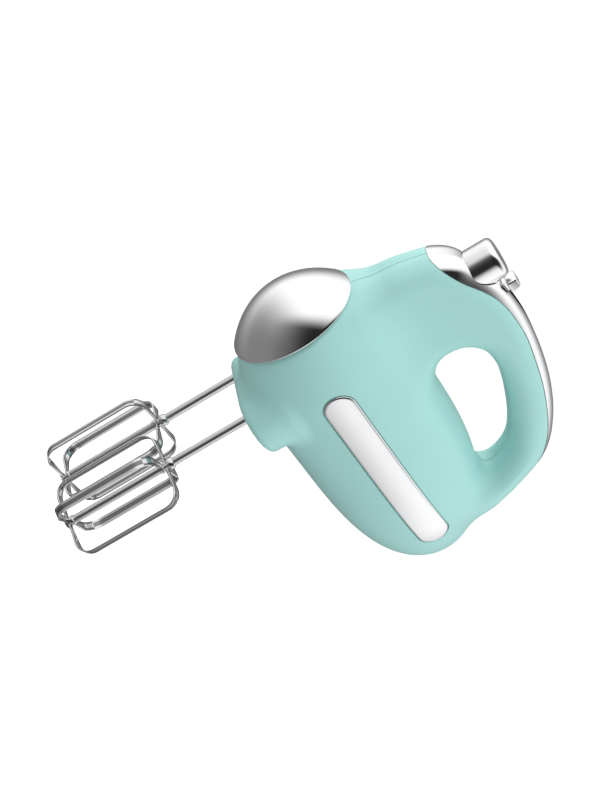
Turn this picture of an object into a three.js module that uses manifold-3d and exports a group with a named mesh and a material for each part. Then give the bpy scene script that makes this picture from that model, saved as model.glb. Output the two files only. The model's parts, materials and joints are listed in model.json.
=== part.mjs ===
// Electric hand mixer: an egg-shaped motor pod with a loop handle rising from it, a chrome nose cap
// and handle trim, an eject button, a sliding speed selector and two pull-out beaters.
//
// Frame used while modelling, in millimetres: X from nose to tail, Y from left (-) to right (+),
// Z up towards the handle. X = 0 is the plane of the two beater axes and Z = 0 is the underside of
// the beater socket. The whole group is shifted at the end so that its origin is in the grip.
import * as THREE from 'three';
import { mergeVertices } from 'three/addons/utils/BufferGeometryUtils.js';
import Module from 'manifold-3d';

const wasm = await Module();
wasm.setup();

// ---- Driving dimensions -------------------------------------------------------------------------

const GRIP = new THREE.Vector3(78, 0, 141);
const GAP = 0.3;
const WALL = 2.8;
const OUTER_STEP = 10;
const INNER_STEP = 13;

const pod = {
  noseX: 10,
  noseLength: 62.5,
  straightEndX: 54,
  tailLength: 118,
  halfWidth: 40,
  halfHeight: 48,
  centreZ: 50,
  levelX: 60,
  tilt: 0.03,
  tailDrop: 5,
};

const grip = {
  halfWidth: 15.5,
  baseExtraWidth: 5,
  edgeRadius: 12.5,
  blend: 16,
  outline: [[-26, 84], [-26.5, 100], [-26, 114], [-23.5, 126], [-19.5, 138], [-11.5, 147.8], [1, 153.6],
    [20, 159.8], [45, 161.8], [72, 158.8], [98, 152.5], [120, 143.5], [138, 131.5], [147.5, 119],
    [152.5, 106], [156, 92], [156, 76], [140, 60], [100, 50], [20, 50], [-16, 62]],
  hole: [[46, 94], [41.5, 107], [43, 121], [52, 130], [66, 132.2], [84, 129], [98, 124.5], [112, 118.8],
    [124, 111.5], [131.5, 102], [135.5, 90], [132, 76], [90, 70], [55, 78]],
};

const boss = { centreX: 9, radius: 20, halfSpan: 16, height: 26, blend: 7, edge: 4 };
const capRimX = -31;
const heelX = 169;
const trimEdge = [[-27, 132], [-20, 135.6], [-7.6, 141.2], [0.8, 145], [10.9, 150.5], [21.7, 154.7],
  [34.9, 156.7], [53.8, 156.5], [72.6, 153.1], [90.4, 148.9], [102.3, 145.1], [116.5, 139.5], [129.3, 132.8],
  [143.2, 122], [158, 106]];

const beater = {
  spacing: 41,
  tipZ: -126,
  cageHeight: 73,
  cageRadius: 24,
  cornerRadius: 9,
  stripWidth: 6,
  stripThickness: 1.1,
  shaftRadius: 2.5,
  shaftTopZ: 34,
  hubRadius: 3.6,
  leftAzimuth: -60,
  rightAzimuth: 0,
};

const spindle = { radius: 6.5, bottomZ: 1.5, topZ: 61 };
const bush = { radius: 8.5, bottomZ: 3, topZ: 13, mouthRadius: 7.4 };
const wheel = { teeth: 28, tipRadius: 15, rootRadius: 12.8, height: 9 };
const wormGear = { starts: 2, crest: 5.1, root: 4, threadHalf: 13, bodyHalf: 16 };
const motorZ = 48.5;
const motor = {
  stackStartX: 54,
  stackEndX: 82,
  stackWidth: 50,
  stackHeight: 54,
  armatureRadius: 14.5,
  shaftRadius: 2.5,
  shaftStartX: -22,
  shaftEndX: 121,
  commutatorStartX: 94,
  commutatorEndX: 106,
  commutatorRadius: 9,
  fanStartX: 31,
  fanEndX: 42,
  fanRadius: 25,
  bearingRadius: 6,
  coilHalfWidth: 16.6,
  coilNearZ: 15.6,
  coilThickness: 4,
};
const button = { centreX: 5, radius: 12.3, bottomZ: 147, topZ: 168.5, edge: 3.2, travel: 8 };
const fork = { topZ: 82, tipZ: 42.5 };
const selector = {
  slotStartX: 20,
  slotEndX: 58,
  slotHalfWidth: 3.4,
  tabStartX: 22,
  tabLength: 6,
  tabTopZ: 169,
  stemHalfWidth: 2.6,
  stemBottomZ: 152.6,
  padBottomZ: 163.5,
  padHalfWidth: 6.5,
};
const seatPlate = { bottomZ: 118, topZ: 120.8, startX: -6, endX: 16, halfWidth: 11 };
const ribs = { xs: [57, 76], thickness: 2 };
const strip = { startX: 4, endX: 142, startZ: 51, endZ: 46.5, width: 19, proud: 1.2 };
const gland = { startX: 145, z: 84, headRadius: 7, neckRadius: 5, collarRadius: 6.6, bore: 3, length: 15.5 };
const screws = [[32, 112], [144, 98], [150, 44], [46, 10], [104, 11]];
const screw = { shank: 1.5, head: 3, headHeight: 2, tipY: -9, headY: 6, boss: 4.6 };

// ---- Small solid-modelling helpers --------------------------------------------------------------

function toSolid(geometry) {
  const plain = geometry.clone();
  plain.deleteAttribute('normal');
  plain.deleteAttribute('uv');
  const merged = mergeVertices(plain);
  const vertProperties = new Float32Array(merged.attributes.position.array);
  const triVerts = new Uint32Array(merged.index.array);
  return new wasm.Manifold(new wasm.Mesh({ numProp: 3, vertProperties, triVerts }));
}

function toGeometry(solid) {
  const mesh = solid.getMesh();
  const geometry = new THREE.BufferGeometry();
  geometry.setAttribute('position', new THREE.BufferAttribute(new Float32Array(mesh.vertProperties), 3));
  geometry.setIndex(new THREE.BufferAttribute(new Uint32Array(mesh.triVerts), 1));
  geometry.computeVertexNormals();
  return geometry;
}

function box(x0, x1, y0, y1, motorZ, z1) {
  const geometry = new THREE.BoxGeometry(x1 - x0, y1 - y0, z1 - motorZ);
  geometry.translate((x0 + x1) / 2, (y0 + y1) / 2, (motorZ + z1) / 2);
  return toSolid(geometry);
}

// A turned piece about an axis through (a, b): the profile is [radius, position along the axis].
function turned(axis, profile, a, b, segments = 24) {
  const points = profile.map(([radius, along]) => new THREE.Vector2(radius, along));
  const geometry = new THREE.LatheGeometry(points, segments);
  if (axis === 'x') {
    geometry.rotateZ(-Math.PI / 2);
    geometry.translate(0, a, b);
  } else if (axis === 'y') {
    geometry.translate(a, 0, b);
  } else {
    geometry.rotateX(Math.PI / 2);
    geometry.translate(a, b, 0);
  }
  return toSolid(geometry);
}

function rod(axis, radius, from, to, a, b, segments = 24) {
  return turned(axis, [[0, from], [radius, from], [radius, to], [0, to]], a, b, segments);
}

function ring(axis, inner, outer, from, to, a, b, segments = 24) {
  const profile = [[inner, from], [outer, from], [outer, to], [inner, to], [inner, from]];
  return turned(axis, profile, a, b, segments);
}

// A plate whose outline lies in XZ, running from y0 to y1.
function plateXZ(points, y0, y1) {
  const shape = new THREE.Shape(points.map(([x, z]) => new THREE.Vector2(x, z)));
  const geometry = new THREE.ExtrudeGeometry(shape, { depth: y1 - y0, bevelEnabled: false });
  geometry.rotateX(Math.PI / 2);
  geometry.translate(0, y1, 0);
  return toSolid(geometry);
}

// ---- The moulded body as a distance field -------------------------------------------------------

function smoothLoop(points, perSpan) {
  const through = points.map(([x, z]) => new THREE.Vector3(x, 0, z));
  const curve = new THREE.CatmullRomCurve3(through, true, 'centripetal');
  return curve.getPoints(points.length * perSpan).slice(0, -1);
}

const outlineLoop = smoothLoop(grip.outline, 4);
const holeLoop = smoothLoop(grip.hole, 4);

// Signed distance from (x, z) to a closed loop, negative inside.
function loopDistance(loop, x, z) {
  let nearest = Infinity;
  let inside = false;
  for (let i = 0, j = loop.length - 1; i < loop.length; j = i, i += 1) {
    const a = loop[i];
    const b = loop[j];
    const ex = b.x - a.x;
    const ez = b.z - a.z;
    const t = THREE.MathUtils.clamp(((x - a.x) * ex + (z - a.z) * ez) / (ex * ex + ez * ez), 0, 1);
    nearest = Math.min(nearest, Math.hypot(x - a.x - t * ex, z - a.z - t * ez));
    if ((a.z > z) !== (b.z > z) && x < a.x + ((z - a.z) * ex) / ez) {
      inside = !inside;
    }
  }
  return inside ? -nearest : nearest;
}

const profileCache = new Map();

function gripProfile(x, z) {
  const key = `${x.toFixed(3)},${z.toFixed(3)}`;
  if (!profileCache.has(key)) {
    profileCache.set(key, Math.max(loopDistance(outlineLoop, x, z), -loopDistance(holeLoop, x, z)));
  }
  return profileCache.get(key);
}

// Rounded slab: flat distance d in its plane, h beyond its half-width, rounded by radius.
function roundedSlab(d, h, radius) {
  const a = d + radius;
  const b = h + radius;
  return Math.min(Math.max(a, b), 0) + Math.hypot(Math.max(a, 0), Math.max(b, 0)) - radius;
}

function smoothUnion(a, b, blend) {
  const t = Math.max(blend - Math.abs(a - b), 0) / blend;
  return Math.min(a, b) - (t * t * blend) / 4;
}

function podField(x, y, z) {
  let s = 0;
  let slope = 0;
  let drop = pod.tilt * (x - pod.levelX);
  if (x < pod.noseX) {
    s = (pod.noseX - x) / pod.noseLength;
    slope = 1 / pod.noseLength;
  } else if (x > pod.straightEndX) {
    const t = (x - pod.straightEndX) / pod.tailLength;
    s = t ** 1.5;
    slope = (1.5 * Math.sqrt(t)) / pod.tailLength;
    drop += pod.tailDrop * t * t;
  }
  const h = z - pod.centreZ + drop;
  const q = Math.hypot(s, y / pod.halfWidth, h / pod.halfHeight) + 1e-6;
  const gradient = Math.hypot(s * slope, y / pod.halfWidth ** 2, h / pod.halfHeight ** 2) / q;
  return (q - 1) / Math.max(gradient, 1 / 60);
}

function gripField(x, y, z) {
  const low = THREE.MathUtils.clamp((135 - z) / 50, 0, 1);
  const halfWidth = grip.halfWidth + grip.baseExtraWidth * low * low;
  return roundedSlab(gripProfile(x, z), Math.abs(y) - halfWidth, grip.edgeRadius);
}

function bossField(x, y, z) {
  const across = Math.hypot(x - boss.centreX, Math.max(Math.abs(y) - boss.halfSpan, 0)) - boss.radius;
  return roundedSlab(across, Math.abs(z - boss.height / 2) - boss.height / 2, boss.edge);
}

function bodyField(x, y, z) {
  const withGrip = smoothUnion(podField(x, y, z), gripField(x, y, z), grip.blend);
  return smoothUnion(withGrip, bossField(x, y, z), boss.blend);
}

// Surface nets: one vertex for each grid cell that the surface crosses, moved onto the surface.
function surfaceNet(field, low, high, step) {
  const counts = ['x', 'y', 'z'].map((k) => Math.ceil((high[k] - low[k]) / step) + 1);
  const [nx, ny, nz] = counts;
  const node = (i, j, k) => (i * nz + k) * ny + j;
  const values = new Float64Array(nx * ny * nz);
  for (let i = 0; i < nx; i += 1) {
    for (let k = 0; k < nz; k += 1) {
      for (let j = 0; j < ny; j += 1) {
        values[node(i, j, k)] = field(low.x + i * step, low.y + j * step, low.z + k * step);
      }
    }
  }
  const positions = [];
  const cellVertex = new Map();
  const corner = (n) => [n & 1, (n >> 1) & 1, (n >> 2) & 1];
  const project = (p) => {
    const probe = 0.2;
    for (let round = 0; round < 4; round += 1) {
      const f = field(p.x, p.y, p.z);
      const g = new THREE.Vector3(
        field(p.x + probe, p.y, p.z) - field(p.x - probe, p.y, p.z),
        field(p.x, p.y + probe, p.z) - field(p.x, p.y - probe, p.z),
        field(p.x, p.y, p.z + probe) - field(p.x, p.y, p.z - probe),
      ).divideScalar(2 * probe);
      const length = Math.max(g.lengthSq(), 0.05);
      p.addScaledVector(g, THREE.MathUtils.clamp(-f, -step / 3, step / 3) / length);
    }
  };
  for (let i = 0; i < nx - 1; i += 1) {
    for (let k = 0; k < nz - 1; k += 1) {
      for (let j = 0; j < ny - 1; j += 1) {
        const sum = new THREE.Vector3();
        let crossings = 0;
        for (let a = 0; a < 8; a += 1) {
          for (const bit of [1, 2, 4]) {
            if (a & bit) {
              continue;
            }
            const [ai, aj, ak] = corner(a);
            const [bi, bj, bk] = corner(a | bit);
            const va = values[node(i + ai, j + aj, k + ak)];
            const vb = values[node(i + bi, j + bj, k + bk)];
            if ((va < 0) === (vb < 0)) {
              continue;
            }
            const t = va / (va - vb);
            sum.x += i + ai + t * (bi - ai);
            sum.y += j + aj + t * (bj - aj);
            sum.z += k + ak + t * (bk - ak);
            crossings += 1;
          }
        }
        if (crossings > 0) {
          const p = sum.divideScalar(crossings).multiplyScalar(step).add(low);
          project(p);
          cellVertex.set(node(i, j, k), positions.length / 3);
          positions.push(p.x, p.y, p.z);
        }
      }
    }
  }
  const index = [];
  const addQuad = (cells, inward) => {
    const [a, b, c, d] = cells.map((cell) => cellVertex.get(cell));
    const faces = inward ? [a, b, c, a, c, d] : [a, c, b, a, d, c];
    index.push(...faces);
  };
  for (let i = 1; i < nx - 1; i += 1) {
    for (let k = 1; k < nz - 1; k += 1) {
      for (let j = 1; j < ny - 1; j += 1) {
        const v = values[node(i, j, k)] < 0;
        if (v !== (values[node(i + 1, j, k)] < 0)) {
          addQuad([node(i, j - 1, k - 1), node(i, j, k - 1), node(i, j, k), node(i, j - 1, k)], v);
        }
        if (v !== (values[node(i, j + 1, k)] < 0)) {
          addQuad([node(i - 1, j, k - 1), node(i - 1, j, k), node(i, j, k), node(i, j, k - 1)], v);
        }
        if (v !== (values[node(i, j, k + 1)] < 0)) {
          addQuad([node(i - 1, j - 1, k), node(i, j - 1, k), node(i, j, k), node(i - 1, j, k)], v);
        }
      }
    }
  }
  const geometry = new THREE.BufferGeometry();
  geometry.setAttribute('position', new THREE.BufferAttribute(new Float32Array(positions), 3));
  geometry.setIndex(index);
  return toSolid(geometry);
}

const fieldLow = new THREE.Vector3(-72, -52.5, -12);
const fieldHigh = new THREE.Vector3(180, 52.5, 176);
const outerSkin = surfaceNet(bodyField, fieldLow, fieldHigh, OUTER_STEP);
const innerSkin = surfaceNet((x, y, z) => bodyField(x, y, z) + WALL, fieldLow, fieldHigh, INNER_STEP);

// ---- Collecting the pieces ----------------------------------------------------------------------

const mixer = new THREE.Group();
mixer.name = 'hand_mixer';
mixer.position.copy(GRIP).multiplyScalar(-1);

const finishes = {
  mint: { color: 0xa8dcd7, roughness: 0.35, metalness: 0 },
  chrome: { color: 0xdfe1e3, roughness: 0.08, metalness: 1 },
  steel: { color: 0xb9bcc0, roughness: 0.25, metalness: 1 },
  darkPlastic: { color: 0x2a2c2e, roughness: 0.6, metalness: 0 },
  whitePlastic: { color: 0xe6e4dc, roughness: 0.5, metalness: 0 },
  copper: { color: 0xb5683a, roughness: 0.4, metalness: 1 },
  brass: { color: 0xc9a45a, roughness: 0.35, metalness: 1 },
};

function add(name, piece, finish) {
  const geometry = piece instanceof THREE.BufferGeometry ? piece : toGeometry(piece);
  const mesh = new THREE.Mesh(geometry, new THREE.MeshStandardMaterial(finishes[finish]));
  mesh.name = name;
  mixer.add(mesh);
}

// ---- Housings, nose cap and handle trim ---------------------------------------------------------

function trimRegion(offset) {
  const lower = trimEdge.map(([x, z]) => [x, z - offset]);
  return plateXZ([...lower, [175, 100 - offset], [175, 200], [-45, 200], [-45, 132 - offset]], -40, 40);
}

const shell = outerSkin.subtract(innerSkin);
const stackHalfY = motor.stackWidth / 2 + 0.5;
const stackHalfZ = motor.stackHeight / 2 + 0.5;
const stackSpace = box(50, 90, -stackHalfY, stackHalfY, motorZ - stackHalfZ, motorZ + stackHalfZ);

let housing = shell;
for (const x of ribs.xs) {
  const rib = box(x, x + ribs.thickness, -60, 60, -5, 97).intersect(outerSkin);
  housing = housing.add(rib.subtract(stackSpace));
}
for (const [x, z] of screws) {
  housing = housing.add(rod('y', screw.boss, -60, 60, x, z, 12).intersect(outerSkin));
}
for (const side of [-1, 1]) {
  const y = (side * beater.spacing) / 2;
  const holder = rod('z', bush.radius + 2, 0.2, bush.topZ + 1, 0, y);
  housing = housing.add(holder.intersect(outerSkin));
}
housing = housing.subtract(box(-80, capRimX + GAP, -60, 60, -10, 120));
housing = housing.subtract(trimRegion(GAP));
for (const side of [-1, 1]) {
  const y = (side * beater.spacing) / 2;
  housing = housing.subtract(rod('z', bush.mouthRadius, -5, 30, 0, y));
  housing = housing.subtract(rod('z', bush.radius + GAP, bush.bottomZ - GAP, 30, 0, y));
}
const wellBottom = button.bottomZ - button.travel - 1;
housing = housing.subtract(rod('z', button.radius + 0.5, wellBottom, 190, button.centreX, 0, 32));
const glandSpace = rod('x', gland.headRadius + 0.5, gland.startX - 12, gland.startX + 3, 0, gland.z, 16)
  .add(rod('x', gland.neckRadius + 0.4, gland.startX, gland.startX + 20, 0, gland.z, 16))
  .add(rod('x', gland.collarRadius + 0.5, gland.startX + 10.5, gland.startX + 30, 0, gland.z, 16));
housing = housing.subtract(glandSpace);
housing = housing.subtract(box(heelX, 190, -40, 40, 0, 90));

let leftHousing = housing.intersect(box(-90, 190, -80, -0.15, -30, 200));
let rightHousing = housing.intersect(box(-90, 190, 0.15, 80, -30, 200));
for (const [x, z] of screws) {
  leftHousing = leftHousing.subtract(rod('y', screw.shank + GAP, screw.tipY - 1, 1, x, z, 10));
  rightHousing = rightHousing.subtract(rod('y', screw.shank + GAP, -1, 60, x, z, 10));
  rightHousing = rightHousing.subtract(rod('y', screw.head + GAP, screw.headY, 60, x, z, 12));
}
add('left_housing', leftHousing, 'mint');
add('right_housing', rightHousing, 'mint');

add('nose_cap', shell.intersect(box(-80, capRimX - GAP, -60, 60, -10, 120)), 'chrome');

const slotHalf = selector.slotHalfWidth;
const slotCut = box(selector.slotStartX, selector.slotEndX, -slotHalf, slotHalf, 140, 180);
const trim = shell.intersect(trimRegion(-GAP))
  .subtract(rod('z', button.radius + 0.5, 100, 190, button.centreX, 0, 32))
  .subtract(slotCut);
add('handle_trim', trim, 'chrome');

screws.forEach(([x, z], i) => {
  const headTop = screw.headY + screw.headHeight;
  const profile = [[0, screw.tipY], [screw.shank, screw.tipY], [screw.shank, screw.headY],
    [screw.head, screw.headY], [screw.head, headTop], [0, headTop]];
  const shifted = profile.map(([r, y]) => [r, y + GAP]);
  add(`housing_screw_${i + 1}`, turned('y', shifted, x, z, 10), 'steel');
});

// ---- Side strips --------------------------------------------------------------------------------

function stripOutline() {
  const start = new THREE.Vector2(strip.startX, strip.startZ);
  const end = new THREE.Vector2(strip.endX, strip.endZ);
  const along = end.clone().sub(start).normalize();
  const across = new THREE.Vector2(-along.y, along.x);
  const radius = strip.width / 2;
  const points = [];
  const ends = [[start, Math.PI / 2], [end, -Math.PI / 2]];
  for (const [centre, from] of ends) {
    const inset = centre.clone().addScaledVector(along, centre === start ? radius : -radius);
    for (let i = 0; i <= 8; i += 1) {
      const angle = from + (i * Math.PI) / 8;
      const p = inset.clone()
        .addScaledVector(along, radius * Math.cos(angle))
        .addScaledVector(across, radius * Math.sin(angle));
      points.push([p.x, p.y]);
    }
  }
  return points;
}

for (const [name, side] of [['left_side_strip', -1], ['right_side_strip', 1]]) {
  const ys = [side * 5, side * 60].sort((a, b) => a - b);
  const plate = plateXZ(stripOutline(), ys[0], ys[1]);
  const proud = plate.intersect(outerSkin.translate([0, side * strip.proud, 0]));
  add(name, proud.subtract(outerSkin.translate([0, side * GAP, 0])), 'chrome');
}

// ---- Eject button, rod, fork and spring ---------------------------------------------------------

const edgeZ = button.topZ - button.edge;
const domed = [[0, button.bottomZ], [button.radius, button.bottomZ], [button.radius, edgeZ]];
for (let i = 1; i <= 4; i += 1) {
  const angle = (i * Math.PI) / 8;
  domed.push([button.radius - button.edge * (1 - Math.cos(angle)), edgeZ + button.edge * Math.sin(angle)]);
}
domed.push([0, button.topZ]);
add('eject_button', turned('z', domed, button.centreX, 0, 28), 'chrome');
add('eject_rod', rod('z', 3, fork.topZ + GAP, button.bottomZ - GAP, button.centreX, 0, 12), 'whitePlastic');
let forkSolid = box(-4, 9, -beater.spacing / 2 - 3, beater.spacing / 2 + 3, fork.topZ - 5, fork.topZ);
for (const side of [-1, 1]) {
  forkSolid = forkSolid.add(rod('z', 2.1, fork.tipZ, fork.topZ - 2, 0, (side * beater.spacing) / 2, 12));
}
add('eject_fork', forkSolid, 'whitePlastic');

function coilSpring(radius, wire, from, to, turns) {
  const points = [];
  const perTurn = 8;
  for (let i = 0; i <= turns * perTurn; i += 1) {
    const angle = (i * 2 * Math.PI) / perTurn;
    const z = from + ((to - from) * i) / (turns * perTurn);
    points.push(new THREE.Vector3(button.centreX + radius * Math.cos(angle), radius * Math.sin(angle), z));
  }
  const shape = new THREE.Shape();
  shape.absarc(0, 0, wire, 0, 2 * Math.PI);
  const path = new THREE.CatmullRomCurve3(points);
  const options = { steps: turns * perTurn, curveSegments: 2, extrudePath: path, bevelEnabled: false };
  return toSolid(new THREE.ExtrudeGeometry(shape, options));
}

add('eject_spring', coilSpring(5, 0.6, 122, 144, 5), 'steel');
const seat = box(seatPlate.startX, seatPlate.endX, -seatPlate.halfWidth, seatPlate.halfWidth,
  seatPlate.bottomZ, seatPlate.topZ).subtract(rod('z', 3.4, 110, 130, button.centreX, 0, 16));
add('spring_seat', seat, 'whitePlastic');

// ---- Speed selector -----------------------------------------------------------------------------

const tabEnd = selector.tabStartX + selector.tabLength;
const stemHalf = selector.stemHalfWidth;
const padHalf = selector.padHalfWidth;
const padTop = selector.tabTopZ - 1.5;
const stemTop = selector.padBottomZ + 0.5;
const tab = box(selector.tabStartX, tabEnd, -stemHalf, stemHalf, selector.stemBottomZ, stemTop)
  .add(box(selector.tabStartX - 1, tabEnd + 1, -padHalf, padHalf, selector.padBottomZ, padTop))
  .add(box(selector.tabStartX + 0.5, tabEnd - 0.5, 1 - padHalf, padHalf - 1, padTop - 0.5, selector.tabTopZ));
add('speed_selector', tab, 'chrome');
add('selector_slide', box(18.5, 44, -5.5, 5.5, 149.8, 152.3), 'darkPlastic');
add('speed_switch', box(20, 80, -7.5, 7.5, 138, 149), 'darkPlastic');

// ---- Motor --------------------------------------------------------------------------------------

const halfW = motor.stackWidth / 2;
const halfH = motor.stackHeight / 2;
const bore = rod('x', motor.armatureRadius + 0.6, 0, 120, 0, motorZ, 28);
const coilSlots = box(40, 100, -17, 17, motorZ + 9, motorZ + 20)
  .add(box(40, 100, -17, 17, motorZ - 20, motorZ - 9));
const stack = box(motor.stackStartX, motor.stackEndX, -halfW, halfW, motorZ - halfH, motorZ + halfH);
add('stator_core', stack.subtract(bore).subtract(coilSlots), 'steel');
for (const [name, side] of [['upper_field_coil', 1], ['lower_field_coil', -1]]) {
  const farZ = motor.coilNearZ + motor.coilThickness;
  const low = motorZ + Math.min(side * motor.coilNearZ, side * farZ);
  const top = low + motor.coilThickness;
  const half = motor.coilHalfWidth;
  const coil = box(motor.stackStartX - 7, motor.stackEndX + 7, -half, half, low, top)
    .subtract(box(motor.stackStartX - 2, motor.stackEndX + 2, -half / 2, half / 2, low - 1, top + 1));
  add(name, coil, 'copper');
}
const lamination = 0.4;
add('armature', ring('x', motor.shaftRadius + GAP, motor.armatureRadius, motor.stackStartX - lamination,
  motor.stackEndX + lamination, 0, motorZ, 24), 'steel');
add('commutator', ring('x', motor.shaftRadius + GAP, motor.commutatorRadius, motor.commutatorStartX,
  motor.commutatorEndX, 0, motorZ, 20), 'copper');
for (const [name, side] of [['left_brush', -1], ['right_brush', 1]]) {
  const near = motor.commutatorRadius + 0.4;
  const ys = [side * near, side * (near + 14)].sort((a, b) => a - b);
  add(name, box(97, 103, ys[0], ys[1], motorZ - 3, motorZ + 3), 'brass');
}

function helicalThread(root, crest, from, to, lead) {
  const steps = Math.round(((to - from) / lead) * 10);
  const points = [];
  const radius = root - 0.2;
  for (let i = 0; i <= steps; i += 1) {
    const angle = (i * 2 * Math.PI) / 10;
    const x = from + (i * lead) / 10;
    points.push(new THREE.Vector3(x, radius * Math.cos(angle), radius * Math.sin(angle)));
  }
  const height = crest - radius;
  const shape = new THREE.Shape();
  shape.absarc(0, 0, height, 0, 2 * Math.PI);
  const path = new THREE.CatmullRomCurve3(points);
  const options = { steps, curveSegments: 2, extrudePath: path, bevelEnabled: false };
  const thread = new THREE.ExtrudeGeometry(shape, options);
  thread.translate(0, 0, motorZ);
  return toSolid(thread);
}

const wormLead = (wormGear.starts * 2 * Math.PI * wheel.tipRadius) / wheel.teeth;
const threadHalf = wormGear.threadHalf;
const wormThread = helicalThread(wormGear.root, wormGear.crest, -threadHalf, threadHalf, wormLead);
const worm = rod('x', wormGear.root, -wormGear.bodyHalf, wormGear.bodyHalf, 0, motorZ, 16).add(wormThread);
const motorShaft = rod('x', motor.shaftRadius, motor.shaftStartX, motor.shaftEndX, 0, motorZ, 16).add(worm);
add('motor_shaft', motorShaft, 'steel');
const shaftBore = motor.shaftRadius + GAP;
const bearingSeat = motor.bearingRadius + GAP;
add('front_bearing', ring('x', shaftBore, motor.bearingRadius, 20.4, 23.6, 0, motorZ, 20), 'brass');
add('rear_bearing', ring('x', shaftBore, motor.bearingRadius, 115, 120, 0, motorZ, 20), 'brass');
const bridge = box(114.5, 120.5, -22, 22, motorZ - 9, motorZ + 9)
  .subtract(rod('x', bearingSeat, 110, 125, 0, motorZ, 20));
add('rear_bearing_bridge', bridge, 'whitePlastic');

let fan = ring('x', motor.shaftRadius + GAP, 7, motor.fanStartX, motor.fanEndX, 0, motorZ, 20)
  .add(ring('x', 6, motor.fanRadius, motor.fanStartX, motor.fanStartX + 1.6, 0, motorZ, 28));
const bladeCount = 9;
for (let i = 0; i < bladeCount; i += 1) {
  const blade = new THREE.BoxGeometry(motor.fanEndX - motor.fanStartX, motor.fanRadius - 8, 1.4);
  blade.translate((motor.fanStartX + motor.fanEndX) / 2, (motor.fanRadius + 5) / 2, 0);
  blade.rotateX((i * 2 * Math.PI) / bladeCount);
  blade.translate(0, 0, motorZ);
  fan = fan.add(toSolid(blade));
}
add('cooling_fan', fan, 'whitePlastic');

// ---- Gearbox ------------------------------------------------------------------------------------

let frame = box(-16, 24, -29, 29, 36, 40)
  .add(box(-14, 24, -28, 28, 64, 68))
  .add(box(20, 24, -14, 14, 38, 66));
for (const side of [-1, 1]) {
  frame = frame.subtract(rod('z', spindle.radius + 0.4, 20, 80, 0, (side * beater.spacing) / 2));
}
frame = frame.subtract(rod('x', bearingSeat, 18, 26, 0, motorZ, 20));
add('gearbox_frame', frame, 'darkPlastic');

function wormWheel(y) {
  const shape = new THREE.Shape();
  const pitch = (2 * Math.PI) / wheel.teeth;
  const corners = [[-0.32, wheel.rootRadius], [-0.14, wheel.tipRadius], [0.14, wheel.tipRadius],
    [0.32, wheel.rootRadius]];
  for (let i = 0; i < wheel.teeth; i += 1) {
    corners.forEach(([part, radius], n) => {
      const angle = (i + part) * pitch;
      const x = radius * Math.cos(angle);
      const v = radius * Math.sin(angle);
      if (i === 0 && n === 0) {
        shape.moveTo(x, v);
      } else {
        shape.lineTo(x, v);
      }
    });
  }
  const hole = new THREE.Path();
  hole.absarc(0, 0, spindle.radius + GAP, 0, 2 * Math.PI);
  shape.holes.push(hole);
  const options = { depth: wheel.height, bevelEnabled: false, curveSegments: 8 };
  const geometry = new THREE.ExtrudeGeometry(shape, options);
  geometry.translate(0, y, motorZ - wheel.height / 2);
  return toSolid(geometry);
}

// ---- Beaters ------------------------------------------------------------------------------------

function roundedRect(halfWidth, low, high, radius) {
  const shape = new THREE.Shape();
  shape.moveTo(-halfWidth + radius, low);
  shape.lineTo(halfWidth - radius, low);
  shape.absarc(halfWidth - radius, low + radius, radius, -Math.PI / 2, 0);
  shape.lineTo(halfWidth, high - radius);
  shape.absarc(halfWidth - radius, high - radius, radius, 0, Math.PI / 2);
  shape.lineTo(-halfWidth + radius, high);
  shape.absarc(-halfWidth + radius, high - radius, radius, Math.PI / 2, Math.PI);
  shape.lineTo(-halfWidth, low + radius);
  shape.absarc(-halfWidth + radius, low + radius, radius, Math.PI, 1.5 * Math.PI);
  return shape;
}

// One bent strip: a rounded rectangle in the plane at the given azimuth, with its arms nested
// inside those of the other strip by the given inset.
function beaterLoop(y, azimuth, inset) {
  const low = beater.tipZ + 2 + inset;
  const high = beater.tipZ + beater.cageHeight - 2 - inset;
  const t = beater.stripThickness;
  const outline = roundedRect(beater.cageRadius, low, high, beater.cornerRadius);
  const inner = roundedRect(beater.cageRadius - t, low + t, high - t, beater.cornerRadius - t);
  outline.holes.push(inner);
  const options = { depth: beater.stripWidth, bevelEnabled: false, curveSegments: 4 };
  const geometry = new THREE.ExtrudeGeometry(outline, options);
  geometry.translate(0, 0, -beater.stripWidth / 2);
  geometry.rotateX(Math.PI / 2);
  geometry.rotateZ(THREE.MathUtils.degToRad(azimuth));
  geometry.translate(0, y, 0);
  return toSolid(geometry).subtract(rod('z', beater.shaftRadius + GAP, beater.tipZ, 0, 0, y, 16));
}

for (const [side, y, azimuth] of [['left', -beater.spacing / 2, beater.leftAzimuth],
  ['right', beater.spacing / 2, beater.rightAzimuth]]) {
  const bushRing = ring('z', spindle.radius + GAP, bush.radius, bush.bottomZ, bush.topZ, 0, y, 20);
  add(`${side}_spindle_bush`, bushRing, 'brass');
  const bored = ring('z', beater.shaftRadius + GAP, spindle.radius, spindle.bottomZ, spindle.topZ, 0, y, 20);
  add(`${side}_spindle`, bored, 'steel');
  add(`${side}_worm_wheel`, wormWheel(y), 'whitePlastic');
  const hub = beater.hubRadius;
  const topHub = beater.tipZ + beater.cageHeight;
  const radius = beater.shaftRadius;
  const top = beater.shaftTopZ;
  const shaft = [[0, beater.tipZ + 0.8], [radius, beater.tipZ + 0.8], [radius, topHub],
    [hub, topHub + 0.2], [hub, topHub + 2.4], [radius, topHub + 3.2],
    [radius, top - 4], [radius - 0.8, top - 3], [radius - 0.8, top - 2], [radius, top - 1.2],
    [1.4, top], [0, top]];
  add(`${side}_beater_shaft`, turned('z', shaft, 0, y, 16), 'steel');
  add(`${side}_beater_outer_strip`, beaterLoop(y, azimuth, 0), 'steel');
  add(`${side}_beater_cross_strip`, beaterLoop(y, azimuth + 90, beater.stripThickness + GAP), 'steel');
}

// ---- Cable gland --------------------------------------------------------------------------------

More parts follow.
